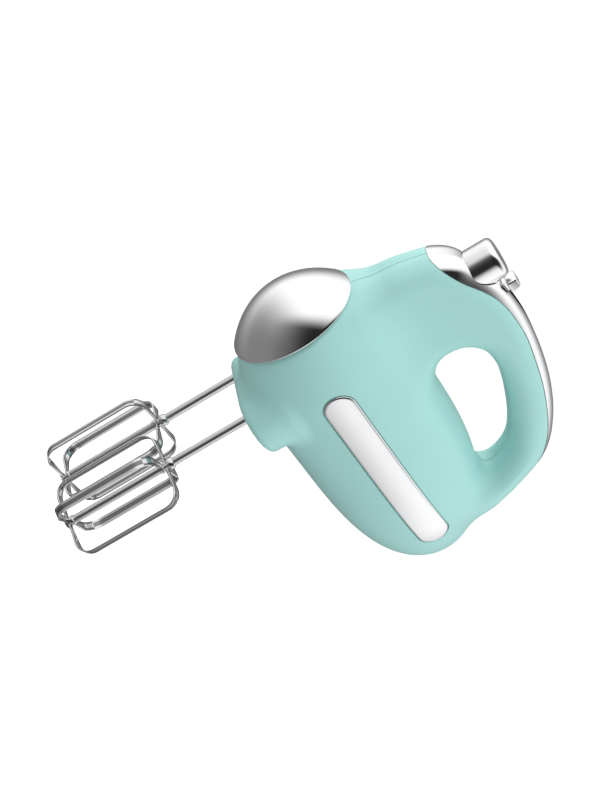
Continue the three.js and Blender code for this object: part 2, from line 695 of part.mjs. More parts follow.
const glandProfile = [[0, 0], [gland.headRadius, 0], [gland.headRadius, 2.5], [gland.neckRadius, 2.5],
  [gland.neckRadius, 11], [gland.collarRadius, 11], [gland.collarRadius, 14], [5.2, gland.length],
  [gland.bore, gland.length], [gland.bore, 8], [0, 8]];
const placedGland = glandProfile.map(([radius, x]) => [radius, x + gland.startX]);
add('cable_gland', turned('x', placedGland, 0, gland.z, 20), 'darkPlastic');

export default mixer;
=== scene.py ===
"""Looks of the electric hand mixer: fine shells, chrome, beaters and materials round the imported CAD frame."""
import json
import math

import bmesh
import bpy
import numpy as np
from mathutils import Matrix, Vector


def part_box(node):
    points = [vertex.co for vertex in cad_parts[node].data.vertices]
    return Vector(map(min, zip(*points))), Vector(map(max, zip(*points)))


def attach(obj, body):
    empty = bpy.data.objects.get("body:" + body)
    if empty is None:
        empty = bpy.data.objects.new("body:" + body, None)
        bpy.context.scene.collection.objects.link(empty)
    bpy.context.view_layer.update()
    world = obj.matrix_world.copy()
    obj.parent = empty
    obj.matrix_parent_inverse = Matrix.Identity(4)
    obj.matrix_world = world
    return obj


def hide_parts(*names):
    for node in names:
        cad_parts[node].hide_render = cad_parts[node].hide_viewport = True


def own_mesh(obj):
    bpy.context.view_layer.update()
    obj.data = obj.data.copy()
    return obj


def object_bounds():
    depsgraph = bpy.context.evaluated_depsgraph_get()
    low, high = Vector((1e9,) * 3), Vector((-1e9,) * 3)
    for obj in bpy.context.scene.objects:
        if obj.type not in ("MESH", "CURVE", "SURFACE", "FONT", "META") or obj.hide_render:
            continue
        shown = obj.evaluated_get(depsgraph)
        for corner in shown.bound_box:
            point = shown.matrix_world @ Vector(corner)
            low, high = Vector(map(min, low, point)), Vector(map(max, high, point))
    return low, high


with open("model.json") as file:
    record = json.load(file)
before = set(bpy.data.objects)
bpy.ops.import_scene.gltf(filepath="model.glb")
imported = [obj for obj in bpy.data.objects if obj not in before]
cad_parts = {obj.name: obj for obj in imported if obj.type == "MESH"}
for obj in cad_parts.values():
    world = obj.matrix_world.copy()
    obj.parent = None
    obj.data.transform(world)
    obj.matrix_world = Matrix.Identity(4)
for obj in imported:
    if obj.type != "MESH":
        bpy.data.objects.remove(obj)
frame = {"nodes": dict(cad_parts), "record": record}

CAD_LOW, CAD_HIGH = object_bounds()
JOINTS = {joint["name"]: joint for joint in frame["record"]["behaviour"]["joints"]}

# ---- Driving dimensions, in millimetres in the mixer's own frame ---------------------------------
# X runs from nose to tail with 0 in the plane of the beater axes, Z is up with 0 at the underside of
# the beater socket, and Y = 0 is the middle plane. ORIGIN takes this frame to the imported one.

MOTOR_Z = 48.5
BEATER_Y = 1000 * JOINTS["right_drive_spin"]["pos_m"][1]
ORIGIN = np.array([
    1000 * JOINTS["left_drive_spin"]["pos_m"][0],
    0.0,
    1000 * JOINTS["motor_spin"]["pos_m"][2] - MOTOR_Z,
])

STEP = 1.5
INNER_STEP = 5.0
WALL = 2.6
SEAM = 0.18

POD = dict(nose_x=10.0, nose_length=62.5, straight_end=54.0, tail_length=118.0, half_width=40.0,
           half_height=48.0, centre_z=50.0, level_x=60.0, tilt=0.03, tail_drop=5.0)
GRIP = dict(half_width=15.5, base_extra=5.0, edge=12.5, blend=16.0)
GRIP_OUTLINE = [
    (-26, 84), (-26.5, 100), (-26, 114), (-23.5, 126), (-19.5, 138), (-11.5, 147.8), (1, 153.6),
    (20, 159.8), (45, 161.8), (72, 158.8), (98, 152.5), (120, 143.5), (138, 131.5), (147.5, 119),
    (152.5, 106), (156, 92), (156, 76), (140, 60), (100, 50), (20, 50), (-16, 62)]
GRIP_HOLE = [
    (46, 94), (41.5, 107), (43, 121), (52, 130), (66, 132.2), (84, 129), (98, 124.5), (112, 118.8),
    (124, 111.5), (131.5, 102), (135.5, 90), (132, 76), (90, 70), (55, 78)]
TRIM_EDGE = [
    (-27, 132), (-20, 135.6), (-7.6, 141.2), (0.8, 145), (10.9, 150.5), (21.7, 154.7), (34.9, 156.7),
    (53.8, 156.5), (72.6, 153.1), (90.4, 148.9), (102.3, 145.1), (116.5, 139.5), (129.3, 132.8),
    (143.2, 122), (158, 106)]
BOSS = dict(centre_x=9.0, radius=20.0, half_span=16.0, height=26.0, blend=7.0, edge=4.0)
CAP_RIM_X = -31.0
RIM_ROLL = dict(length=4.0, depth=1.5)
HEEL_X = 169.0
BUTTON = dict(x=5.0, radius=12.3, top=168.5, bottom=147.0, edge=3.4)
SLOT = dict(start=20.0, end=58.0, half_width=3.4)
STRIP = dict(start=(4.0, 51.0), end=(142.0, 46.5), width=19.0)
SPINDLE = dict(mouth=7.4, flange=8.8, flange_z=2.7)
GLAND = dict(z=84.0, head_hole=7.1, head_x=155.0, neck_hole=5.4, neck_x=140.0)
SCREWS = [(32, 112), (144, 98), (150, 44), (46, 10), (104, 11)]
SCREW = dict(post=4.6, bore=1.8, head=3.4, head_y=6.0)
SPRING = dict(radius=5.0, wire=0.6, low=122.0, high=144.0, turns=5)
BEATER = dict(tip=-126.0, cage=73.0, radius=24.0, corner=9.0, width=6.0, thickness=1.1, shaft=2.5,
              hub=3.6, top=34.0)
BEATER_AZIMUTH = {"left": -60.0, "right": 0.0}


# ---- Mesh helpers --------------------------------------------------------------------------------

def to_row(points):
    """Millimetres in the mixer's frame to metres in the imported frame."""
    return (np.asarray(points, float) + ORIGIN) / 1000


def new_object(name, points, faces):
    mesh = bpy.data.meshes.new(name)
    mesh.from_pydata(to_row(points).tolist(), [], faces)
    mesh.validate()
    mesh.update()
    obj = bpy.data.objects.new(name, mesh)
    bpy.context.scene.collection.objects.link(obj)
    return obj


def smooth(obj, angle=35):
    obj.data.shade_smooth()
    obj.data.set_sharp_from_angle(angle=math.radians(angle))
    return obj


def boolean(obj, cutter, operation):
    """Cuts, joins or crosses obj with cutter, then removes the cutter."""
    modifier = obj.modifiers.new("cut", "BOOLEAN")
    modifier.operation = operation
    modifier.solver = "MANIFOLD"
    modifier.object = cutter
    graph = bpy.context.evaluated_depsgraph_get()
    made = bpy.data.meshes.new_from_object(obj.evaluated_get(graph))
    obj.modifiers.clear()
    old = obj.data
    obj.data = made
    bpy.data.meshes.remove(old)
    bpy.data.objects.remove(cutter)
    return obj


def copy_of(obj, name):
    twin = obj.copy()
    twin.data = obj.data.copy()
    twin.name = name
    bpy.context.scene.collection.objects.link(twin)
    return twin


def prism(outline, y0, y1, name="cutter"):
    """A solid whose outline, anticlockwise in XZ, runs from y0 to y1."""
    count = len(outline)
    points = [(x, y0, z) for x, z in outline] + [(x, y1, z) for x, z in outline]
    sides = [(i, (i + 1) % count, count + (i + 1) % count, count + i) for i in range(count)]
    faces = [tuple(reversed(range(count))), tuple(range(count, 2 * count))] + sides
    obj = new_object(name, points, faces)
    fix_normals(obj)
    return obj


def fix_normals(obj):
    made = bmesh.new()
    made.from_mesh(obj.data)
    bmesh.ops.recalc_face_normals(made, faces=made.faces)
    made.to_mesh(obj.data)
    made.free()


def join_close_points(obj, distance):
    """Merges points closer than a distance in millimetres, then turns all faces outward."""
    made = bmesh.new()
    made.from_mesh(obj.data)
    bmesh.ops.remove_doubles(made, verts=made.verts, dist=distance / 1000)
    bmesh.ops.recalc_face_normals(made, faces=made.faces)
    made.to_mesh(obj.data)
    made.free()


def block(x0, x1, y0, y1, z0, z1):
    return prism([(x0, z0), (x1, z0), (x1, z1), (x0, z1)], y0, y1)


def lathe(name, profile, centre, axis="z", segments=64):
    """Turns (radius, height) points about an axis through centre; both ends lie on the axis."""
    rings = [p for p in profile if p[0] > 0]
    turn = np.linspace(0, 2 * math.pi, segments, endpoint=False)
    points = [(radius * math.cos(t), radius * math.sin(t), height) for radius, height in rings for t in turn]
    points += [(0, 0, profile[0][1]), (0, 0, profile[-1][1])]
    faces = []
    for i in range(len(rings) - 1):
        for j in range(segments):
            k = (j + 1) % segments
            faces.append((i * segments + j, i * segments + k, (i + 1) * segments + k, (i + 1) * segments + j))
    last = (len(rings) - 1) * segments
    first_pole = len(rings) * segments
    faces += [(first_pole, (j + 1) % segments, j) for j in range(segments)]
    faces += [(first_pole + 1, last + j, last + (j + 1) % segments) for j in range(segments)]
    order = {"z": (0, 1, 2), "x": (2, 0, 1), "y": (1, 2, 0)}[axis]
    placed = np.array(points)[:, order] + np.array(centre)
    obj = new_object(name, placed, faces)
    fix_normals(obj)
    return obj


def rod(axis, radius, low, high, centre, segments=48):
    return lathe("cutter", [(0, low), (radius, low), (radius, high), (0, high)], centre, axis, segments)


# ---- The moulded body as a distance field --------------------------------------------------------

def smooth_loop(points, per_span):
    """A closed centripetal Catmull-Rom curve through the points."""
    points = np.array(points, float)
    made = []
    t = np.linspace(0, 1, per_span, endpoint=False)[:, None]
    for i in range(len(points)):
        p0, p1, p2, p3 = (points[(i + k) % len(points)] for k in (-1, 0, 1, 2))
        d0, d1, d2 = (math.sqrt(np.linalg.norm(b - a)) for a, b in ((p0, p1), (p1, p2), (p2, p3)))
        m1 = ((p1 - p0) / d0 - (p2 - p0) / (d0 + d1) + (p2 - p1) / d1) * d1
        m2 = ((p2 - p1) / d1 - (p3 - p1) / (d1 + d2) + (p3 - p2) / d2) * d1
        made.append(p1 + m1 * t + (3 * (p2 - p1) - 2 * m1 - m2) * t ** 2 + (2 * (p1 - p2) + m1 + m2) * t ** 3)
    return np.vstack(made)


def loop_distance(loop, x, z):
    """Signed distance from the points (x, z) to a closed loop, negative inside."""
    nearest = np.full(x.shape, 1e9)
    inside = np.zeros(x.shape, bool)
    for a, b in zip(loop, np.roll(loop, 1, axis=0)):
        ex, ez = b - a
        t = np.clip(((x - a[0]) * ex + (z - a[1]) * ez) / (ex * ex + ez * ez), 0, 1)
        nearest = np.minimum(nearest, (x - a[0] - t * ex) ** 2 + (z - a[1] - t * ez) ** 2)
        if a[1] != b[1]:
            inside ^= ((a[1] > z) != (b[1] > z)) & (x < a[0] + (z - a[1]) * ex / ez)
    return np.where(inside, -1, 1) * np.sqrt(nearest)


class ProfileTable:
    """The grip's flat distance on a fine grid, read back with a smooth cubic B-spline."""

    def __init__(self, spacing=0.8):
        self.spacing = spacing
        self.low = np.array([-80.0, -20.0])
        xs = np.arange(self.low[0], 190, spacing)
        zs = np.arange(self.low[1], 185, spacing)
        x, z = np.meshgrid(xs, zs, indexing="ij")
        outline = loop_distance(smooth_loop(GRIP_OUTLINE, 12), x, z)
        hole = loop_distance(smooth_loop(GRIP_HOLE, 12), x, z)
        self.values = np.maximum(outline, -hole)

    def __call__(self, x, z):
        u = (x - self.low[0]) / self.spacing
        v = (z - self.low[1]) / self.spacing
        i = np.clip(np.floor(u).astype(int), 1, self.values.shape[0] - 3)
        j = np.clip(np.floor(v).astype(int), 1, self.values.shape[1] - 3)
        total = 0
        for a, wa in enumerate(spline_weights(u - i)):
            for b, wb in enumerate(spline_weights(v - j)):
                total = total + wa * wb * self.values[i + a - 1, j + b - 1]
        return total


def spline_weights(t):
    return (
        (1 - t) ** 3 / 6,
        (3 * t ** 3 - 6 * t ** 2 + 4) / 6,
        (-3 * t ** 3 + 3 * t ** 2 + 3 * t + 1) / 6,
        t ** 3 / 6,
    )


grip_profile = ProfileTable()


def rounded_slab(flat, beyond, radius):
    a = flat + radius
    b = beyond + radius
    return np.minimum(np.maximum(a, b), 0) + np.hypot(np.maximum(a, 0), np.maximum(b, 0)) - radius


def smooth_union(a, b, blend):
    t = np.maximum(blend - np.abs(a - b), 0) / blend
    return np.minimum(a, b) - t * t * blend / 4


def pod_field(x, y, z):
    nose = np.maximum(POD["nose_x"] - x, 0) / POD["nose_length"]
    tail = np.maximum(x - POD["straight_end"], 0) / POD["tail_length"]
    s = nose + tail ** 1.5
    slope = np.where(x < POD["nose_x"], 1 / POD["nose_length"], 1.5 * np.sqrt(tail) / POD["tail_length"])
    h = z - POD["centre_z"] + POD["tilt"] * (x - POD["level_x"]) + POD["tail_drop"] * tail ** 2
    width, height = POD["half_width"], POD["half_height"]
    q = np.sqrt(s ** 2 + (y / width) ** 2 + (h / height) ** 2) + 1e-6
    gradient = np.sqrt((s * slope) ** 2 + (y / width ** 2) ** 2 + (h / height ** 2) ** 2) / q
    return (q - 1) / np.maximum(gradient, 1 / 60)


def grip_field(x, y, z):
    low = np.clip((135 - z) / 50, 0, 1)
    half_width = GRIP["half_width"] + GRIP["base_extra"] * low ** 2
    return rounded_slab(grip_profile(x, z), np.abs(y) - half_width, GRIP["edge"])


def boss_field(x, y, z):
    across = np.hypot(x - BOSS["centre_x"], np.maximum(np.abs(y) - BOSS["half_span"], 0)) - BOSS["radius"]
    return rounded_slab(across, np.abs(z - BOSS["height"] / 2) - BOSS["height"] / 2, BOSS["edge"])


def body_field(x, y, z):
    with_grip = smooth_union(pod_field(x, y, z), grip_field(x, y, z), GRIP["blend"])
    moulded = smooth_union(with_grip, boss_field(x, y, z), BOSS["blend"])
    turned_in = np.clip((CAP_RIM_X + RIM_ROLL["length"] - x) / RIM_ROLL["length"], 0, 1)
    return moulded + RIM_ROLL["depth"] * turned_in ** 2.5


def field_gradient(points, probe=0.15):
    made = []
    for axis in range(3):
        step = np.zeros(3)
        step[axis] = probe
        made.append((body_field(*(points + step).T) - body_field(*(points - step).T)) / (2 * probe))
    return np.stack(made, 1)


def surface_net(name, level, step):
    """The surface body_field = level, as one vertex for each grid cell that it crosses."""
    low = np.array([-68.0, -50.37, -9.0])
    high = np.array([182.0, 50.37, 174.0])
    counts = np.ceil((high - low) / step).astype(int) + 1
    axes = [low[k] + step * np.arange(counts[k]) for k in range(3)]
    x, z = np.meshgrid(axes[0], axes[2], indexing="ij")
    values = np.stack([body_field(x, np.full(x.shape, y), z) for y in axes[1]], 1) - level
    inside = values < 0
    cells = counts - 1
    total = np.zeros((*cells, 3))
    crossings = np.zeros(tuple(cells))
    for axis in range(3):
        others = [k for k in range(3) if k != axis]
        for corner in range(4):
            start = np.zeros(3, int)
            start[others[0]] = corner & 1
            start[others[1]] = corner >> 1
            end = start.copy()
            end[axis] += 1
            window = [tuple(slice(o[k], o[k] + cells[k]) for k in range(3)) for o in (start, end)]
            a, b = values[window[0]], values[window[1]]
            crossed = (a < 0) != (b < 0)
            t = np.where(crossed, a / np.where(crossed, a - b, 1), 0)
            for k in range(3):
                total[..., k] += crossed * (start[k] + (t if k == axis else 0))
            crossings += crossed
    used = np.argwhere(crossings > 0)
    index = np.full(tuple(cells), -1)
    index[tuple(used.T)] = np.arange(len(used))
    points = low + step * (used + total[tuple(used.T)] / crossings[tuple(used.T)][:, None])
    for _ in range(4):
        gradient = field_gradient(points)
        value = body_field(*points.T) - level
        length = np.maximum((gradient ** 2).sum(1), 0.05)
        points -= np.clip(value, -step / 3, step / 3)[:, None] * gradient / length[:, None]
    faces = []
    for axis in range(3):
        b, c = (axis + 1) % 3, (axis + 2) % 3
        shape = [slice(1, -1)] * 3
        here = inside[tuple(shape)]
        ahead = [slice(1, -1)] * 3
        ahead[axis] = slice(2, None)
        changed = np.argwhere(here != inside[tuple(ahead)]) + 1
        going_in = inside[tuple(changed.T)]
        corners = []
        for db, dc in ((-1, -1), (0, -1), (0, 0), (-1, 0)):
            cell = changed.copy()
            cell[:, b] += db
            cell[:, c] += dc
            corners.append(index[tuple(cell.T)])
        quads = np.stack(corners, 1)
        quads[~going_in] = quads[~going_in][:, ::-1]
        faces += quads.tolist()
    return new_object(name, points, faces)


def field_normals(obj, limit=0.8):
    """Shades every face that follows the body with the body's own exact normal."""
    mesh = obj.data
    mesh.shade_smooth()
    count = len(mesh.vertices)
    flat = np.empty(count * 3)
    mesh.vertices.foreach_get("co", flat)
    gradient = field_gradient(flat.reshape(-1, 3) * 1000 - ORIGIN)
    gradient /= np.linalg.norm(gradient, axis=1, keepdims=True) + 1e-9
    loops = len(mesh.loops)
    vertex = np.empty(loops, int)
    mesh.loops.foreach_get("vertex_index", vertex)
    polygons = len(mesh.polygons)
    face = np.empty(polygons * 3)
    mesh.polygons.foreach_get("normal", face)
    sides = np.empty(polygons, int)
    mesh.polygons.foreach_get("loop_total", sides)
    face = np.repeat(face.reshape(-1, 3), sides, axis=0)
    own = gradient[vertex]
    agree = (own * face).sum(1)
    chosen = np.where((np.abs(agree) > limit)[:, None], own * np.sign(agree)[:, None], face)
    mesh.normals_split_custom_set(chosen.tolist())
    return obj


# ---- Materials -----------------------------------------------------------------------------------

def material(name, colour, roughness, metallic=0.0, grain=900.0, bump=0.00002, vary=0.03, stretch=(1, 1, 1),
             rough_vary=0.05):
    """A surface with fine grain, slight colour change and uneven gloss, all from procedural noise."""
    made = bpy.data.materials.new(name)
    made.use_nodes = True
    nodes, links = made.node_tree.nodes, made.node_tree.links
    shader = nodes["Principled BSDF"]
    shader.inputs["Metallic"].default_value = metallic
    place = nodes.new("ShaderNodeTexCoord")
    mapping = nodes.new("ShaderNodeMapping")
    mapping.inputs["Scale"].default_value = stretch
    links.new(place.outputs["Object"], mapping.inputs["Vector"])
    broad = nodes.new("ShaderNodeTexNoise")
    broad.inputs["Scale"].default_value = 28.0
    broad.inputs["Detail"].default_value = 4.0
    links.new(mapping.outputs["Vector"], broad.inputs["Vector"])
    ramp = nodes.new("ShaderNodeValToRGB")
    darker = [max(c * (1 - vary), 0) for c in colour]
    lighter = [min(c * (1 + vary), 1) for c in colour]
    ramp.color_ramp.elements[0].position = 0.35
    ramp.color_ramp.elements[0].color = (*darker, 1)
    ramp.color_ramp.elements[1].position = 0.65
    ramp.color_ramp.elements[1].color = (*lighter, 1)
    links.new(broad.outputs["Fac"], ramp.inputs["Fac"])
    links.new(ramp.outputs["Color"], shader.inputs["Base Color"])
    gloss = nodes.new("ShaderNodeMapRange")
    gloss.inputs["To Min"].default_value = max(roughness - rough_vary, 0.02)
    gloss.inputs["To Max"].default_value = roughness + rough_vary
    links.new(broad.outputs["Fac"], gloss.inputs["Value"])
    links.new(gloss.outputs["Result"], shader.inputs["Roughness"])
    fine = nodes.new("ShaderNodeTexNoise")
    fine.inputs["Scale"].default_value = grain
    fine.inputs["Detail"].default_value = 2.0
    links.new(mapping.outputs["Vector"], fine.inputs["Vector"])
    relief = nodes.new("ShaderNodeBump")
    relief.inputs["Strength"].default_value = 0.5
    relief.inputs["Distance"].default_value = bump
    links.new(fine.outputs["Fac"], relief.inputs["Height"])
    links.new(relief.outputs["Normal"], shader.inputs["Normal"])
    return made


MATERIALS = {
    "mint": material("mint_plastic", (0.395, 0.725, 0.690), 0.36, grain=1600, bump=0.000012, vary=0.012),
    "chrome": material("chrome_plate", (0.88, 0.885, 0.895), 0.07, 1.0, grain=300, bump=0.000002, vary=0.01,
                       rough_vary=0.02),
    "steel": material("polished_steel", (0.70, 0.70, 0.71), 0.13, 1.0, grain=500, bump=0.000008, vary=0.03,
                      stretch=(6, 6, 0.4)),
    "dark_plastic": material("dark_plastic", (0.018, 0.018, 0.02), 0.5, grain=1400, bump=0.00003, vary=0.1),
    "white_plastic": material("white_plastic", (0.74, 0.72, 0.66), 0.42, grain=1200, bump=0.00002, vary=0.03),
    "copper": material("enamelled_copper", (0.60, 0.22, 0.09), 0.3, 1.0, grain=700, bump=0.0002, vary=0.15,
                       stretch=(0.3, 4, 4)),
    "brass": material("sintered_brass", (0.58, 0.42, 0.18), 0.38, 1.0, grain=2200, bump=0.00004, vary=0.12),
}
# A darker copy of the steel, put on bands of the beater strips as painted dark reflections.
DARK_REFLECTION_STEEL = material("satin_steel", (0.22, 0.22, 0.225), 0.22, 1.0, grain=400, bump=0.00001, vary=0.12,
                       stretch=(5, 5, 0.5))


def finish_piece(obj, slot, body, *nodes):
    obj.data.materials.clear()
    obj.data.materials.append(MATERIALS[slot])
    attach(obj, body)
    if nodes:
        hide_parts(*nodes)
    return obj


def dress_cad_nodes():
    slots = {part["node"]: part["material_slot"] for part in frame["record"]["subparts"]}
    for node, obj in frame["nodes"].items():
        obj.data.materials.clear()
        obj.data.materials.append(MATERIALS[slots[node]])


# ---- Housings ------------------------------------------------------------------------------------

def trim_region(offset):
    """Everything above the trim's lower edge, moved down by offset."""
    outline = [(x, z - offset) for x, z in smooth_open(np.array(TRIM_EDGE), 8)]
    return prism(outline + [(178, 98 - offset), (178, 200), (-45, 200), (-45, 130 - offset)], -45, 45)


def smooth_open(points, per_span):
    """An open Catmull-Rom curve through the points."""
    padded = np.vstack([2 * points[0] - points[1], points, 2 * points[-1] - points[-2]])
    made = []
    t = np.linspace(0, 1, per_span, endpoint=False)[:, None]
    for p0, p1, p2, p3 in zip(padded, padded[1:], padded[2:], padded[3:]):
        made.append(0.5 * (2 * p1 + (p2 - p0) * t + (2 * p0 - 5 * p1 + 4 * p2 - p3) * t ** 2
                           + (3 * p1 - p0 - 3 * p2 + p3) * t ** 3))
    return np.vstack([*made, points[-1:]])


def stadium(extra, per_end=24, per_side=40):
    """Outline of the side strip in XZ, grown by extra."""
    start, end = np.array(STRIP["start"]), np.array(STRIP["end"])
    along = (end - start) / np.linalg.norm(end - start)
    across = np.array([-along[1], along[0]])
    radius = STRIP["width"] / 2
    made = []
    ends = (start + along * radius, end - along * radius)
    for centre, opposite, turn in ((*ends, math.pi / 2), (*ends[::-1], -math.pi / 2)):
        for i in range(per_end + 1):
            angle = turn + math.pi * i / per_end
            made.append(centre + (radius + extra) * (along * math.cos(angle) + across * math.sin(angle)))
        for i in range(1, per_side):
            made.append(made[-1] + (opposite - centre) / per_side)
    return made


def make_housings():
    body = surface_net("body", 0.0, STEP)
    for side in (-1, 1):
        pocket = prism(stadium(0.75), *sorted((side * 12, side * 60)))
        boolean(pocket, surface_net("floor", -1.3, 3.0), "DIFFERENCE")
        boolean(body, pocket, "DIFFERENCE")
    boolean(body, surface_net("hollow", -WALL, INNER_STEP), "DIFFERENCE")
    skin = surface_net("skin", -0.4, 4.0)
    for x, z in SCREWS:
        post = rod("y", SCREW["post"], -50, 50, (x, 0, z), 32)
        boolean(post, copy_of(skin, "skin_copy"), "INTERSECT")
        boolean(body, post, "UNION")
    bpy.data.objects.remove(skin)
    boolean(body, block(-80, CAP_RIM_X + 0.9, -60, 60, -10, 120), "DIFFERENCE")
    boolean(body, block(HEEL_X, 190, -40, 40, 0, 90), "DIFFERENCE")
    boolean(body, trim_region(0.35), "DIFFERENCE")
    boolean(body, rod("z", BUTTON["radius"] + 0.6, 138, 190, (BUTTON["x"], 0, 0)), "DIFFERENCE")
    boolean(body, rod("x", GLAND["head_hole"], GLAND["head_x"], 190, (0, 0, GLAND["z"])), "DIFFERENCE")
    boolean(body, rod("x", GLAND["neck_hole"], GLAND["neck_x"], 170, (0, 0, GLAND["z"])), "DIFFERENCE")
    for side in (-1, 1):
        centre = (0, side * BEATER_Y, 0)
        boolean(body, rod("z", SPINDLE["mouth"], -5, 40, centre), "DIFFERENCE")
        boolean(body, rod("z", SPINDLE["flange"], SPINDLE["flange_z"], 40, centre), "DIFFERENCE")
    left = body
    right = copy_of(body, "right_shell")
    left.name = "left_shell"
    lip = copy_of(body, "lip")
    boolean(lip, surface_net("core", -1.5, 3.0), "INTERSECT")
    boolean(lip, block(-90, 190, -1, 1.2, -30, 200), "INTERSECT")
    boolean(left, block(-90, 190, -80, -SEAM, -30, 200), "INTERSECT")
    boolean(left, lip, "UNION")
    rebate = surface_net("rebate", -1.3, 3.0)
    boolean(rebate, block(-90, 190, -1, 1.4, -30, 200), "INTERSECT")
    boolean(right, block(-90, 190, SEAM, 80, -30, 200), "INTERSECT")
    boolean(right, rebate, "DIFFERENCE")
    for x, z in SCREWS:
        boolean(left, rod("y", SCREW["bore"], -10, 1, (x, 0, z), 24), "DIFFERENCE")
        boolean(right, rod("y", SCREW["bore"], -1, 60, (x, 0, z), 24), "DIFFERENCE")
        boolean(right, rod("y", SCREW["head"], SCREW["head_y"], 60, (x, 0, z), 32), "DIFFERENCE")
    for obj, node in ((left, "left_housing"), (right, "right_housing")):
        field_normals(obj)
        finish_piece(obj, "mint", "housing", node)


def make_trim():
    trim = surface_net("trim_shell", 0.3, STEP)
    boolean(trim, surface_net("hollow", -1.9, 2.6), "DIFFERENCE")
    boolean(trim, trim_region(0), "INTERSECT")
    boolean(trim, rod("z", BUTTON["radius"] + 0.55, 100, 190, (BUTTON["x"], 0, 0), 96), "DIFFERENCE")
    slot = prism([(SLOT["start"], 140), (SLOT["end"], 140), (SLOT["end"], 180), (SLOT["start"], 180)],
                 -SLOT["half_width"], SLOT["half_width"])
    boolean(trim, slot, "DIFFERENCE")
    field_normals(trim)
    finish_piece(trim, "chrome", "housing", "handle_trim")


def make_nose_cap():
    """A domed chrome dish with a rolled rim, standing a little proud of the pod's own nose."""
    turns, rings = 128, 40
    proud_at_rim = 2.1
    inner_level = -1.6
    rim = math.acos((POD["nose_x"] - CAP_RIM_X - 0.4) / POD["nose_length"])
    profile = [(rim * i / rings, (proud_at_rim + 0.1) * (i / rings) ** 2 - 0.1) for i in range(rings + 1)]
    roll = []
    for t in np.linspace(0.4, math.pi, 9):
        roll.append((rim + 0.014 * math.sin(t), proud_at_rim - 1.1 * (1 - math.cos(t))))
    inner = [(rim * (1 - i / 12), inner_level) for i in range(13)]
    points, faces = [], []
    rows = profile + roll + inner
    for phi, proud in rows:
        for j in range(turns):
            theta = 2 * math.pi * j / turns
            normal = np.array([-math.cos(phi) / POD["nose_length"],
                               math.sin(phi) * math.cos(theta) / POD["half_width"],
                               math.sin(phi) * math.sin(theta) / POD["half_height"]])
            normal /= np.linalg.norm(normal)
            x = POD["nose_x"] - POD["nose_length"] * math.cos(phi)
            y = POD["half_width"] * math.sin(phi) * math.cos(theta)
            z = (POD["centre_z"] - POD["tilt"] * (x - POD["level_x"])
                 + POD["half_height"] * math.sin(phi) * math.sin(theta))
            points.append(np.array([x, y, z]) + proud * normal)
    for i in range(len(rows) - 1):
        for j in range(turns):
            k = (j + 1) % turns
            faces.append((i * turns + j, i * turns + k, (i + 1) * turns + k, (i + 1) * turns + j))
    obj = new_object("nose_dome", points, faces)
    join_close_points(obj, 0.001)
    smooth(obj, 50)
    finish_piece(obj, "chrome", "housing", "nose_cap")


def make_side_strips():
    """Chrome strips laid in the pockets, with rounded edges, following the pod's side."""
    across_count = 16
    for name, side in (("left", -1), ("right", 1)):
        rings = [(0.0, -1.2), (0.0, 0.15), (-0.35, 0.55), (-0.9, 0.75)]
        for i in range(1, across_count):
            rings.append((-0.9 - (STRIP["width"] / 2 - 0.905) * i / (across_count - 1), 0.75))
        points, faces = [], []
        for extra, proud in rings:
            points += lay_on_side(np.array(stadium(extra)), side, proud)
        per_ring = len(stadium(0))
        for i in range(len(rings) - 1):
            a, b = i * per_ring, (i + 1) * per_ring
            for j in range(per_ring):
                k = (j + 1) % per_ring
                faces.append((a + j, a + k, b + k, b + j))
        faces.append(tuple(range(per_ring)))
        obj = new_object(f"{name}_strip", points, faces)
        join_close_points(obj, 0.03)
        smooth(obj, 40)
        finish_piece(obj, "chrome", "housing", f"{name}_side_strip")


def lay_on_side(outline, side, proud):
    """Points of an XZ outline moved sideways onto the body's surface, then out by proud."""
    x, z = outline.T
    low, high = np.full(len(x), 5.0), np.full(len(x), 60.0)
    for _ in range(30):
        middle = (low + high) / 2
        within = body_field(x, middle, z) < 0
        low = np.where(within, middle, low)
        high = np.where(within, high, middle)
    points = np.stack([x, side * low, z], 1)
    gradient = field_gradient(points)
    return list(points + proud * gradient / np.linalg.norm(gradient, axis=1, keepdims=True))


# ---- Button and selector -------------------------------------------------------------------------

def make_button():
    radius, edge, top, bottom = BUTTON["radius"], BUTTON["edge"], BUTTON["top"], BUTTON["bottom"]
    profile = [(0, bottom), (radius - 0.6, bottom), (radius, bottom + 0.6)]
    profile += [(radius, bottom + 2 + 2 * i) for i in range(int((top - bottom - edge - 2) / 2))]
    for t in np.linspace(0, math.pi / 2, 10):
        profile.append((radius - edge * (1 - math.cos(t)), top - 0.5 - edge * (1 - math.sin(t))))
    for i in range(1, 8):
        r = (radius - edge) * (1 - i / 8)
        profile.append((r, top - 0.5 * (r / (radius - edge)) ** 2))
    profile.append((0, top))
    obj = lathe("eject_cap", profile, (BUTTON["x"], 0, 0), "z", 96)
    smooth(obj, 40)
    finish_piece(obj, "chrome", "eject", "eject_button")


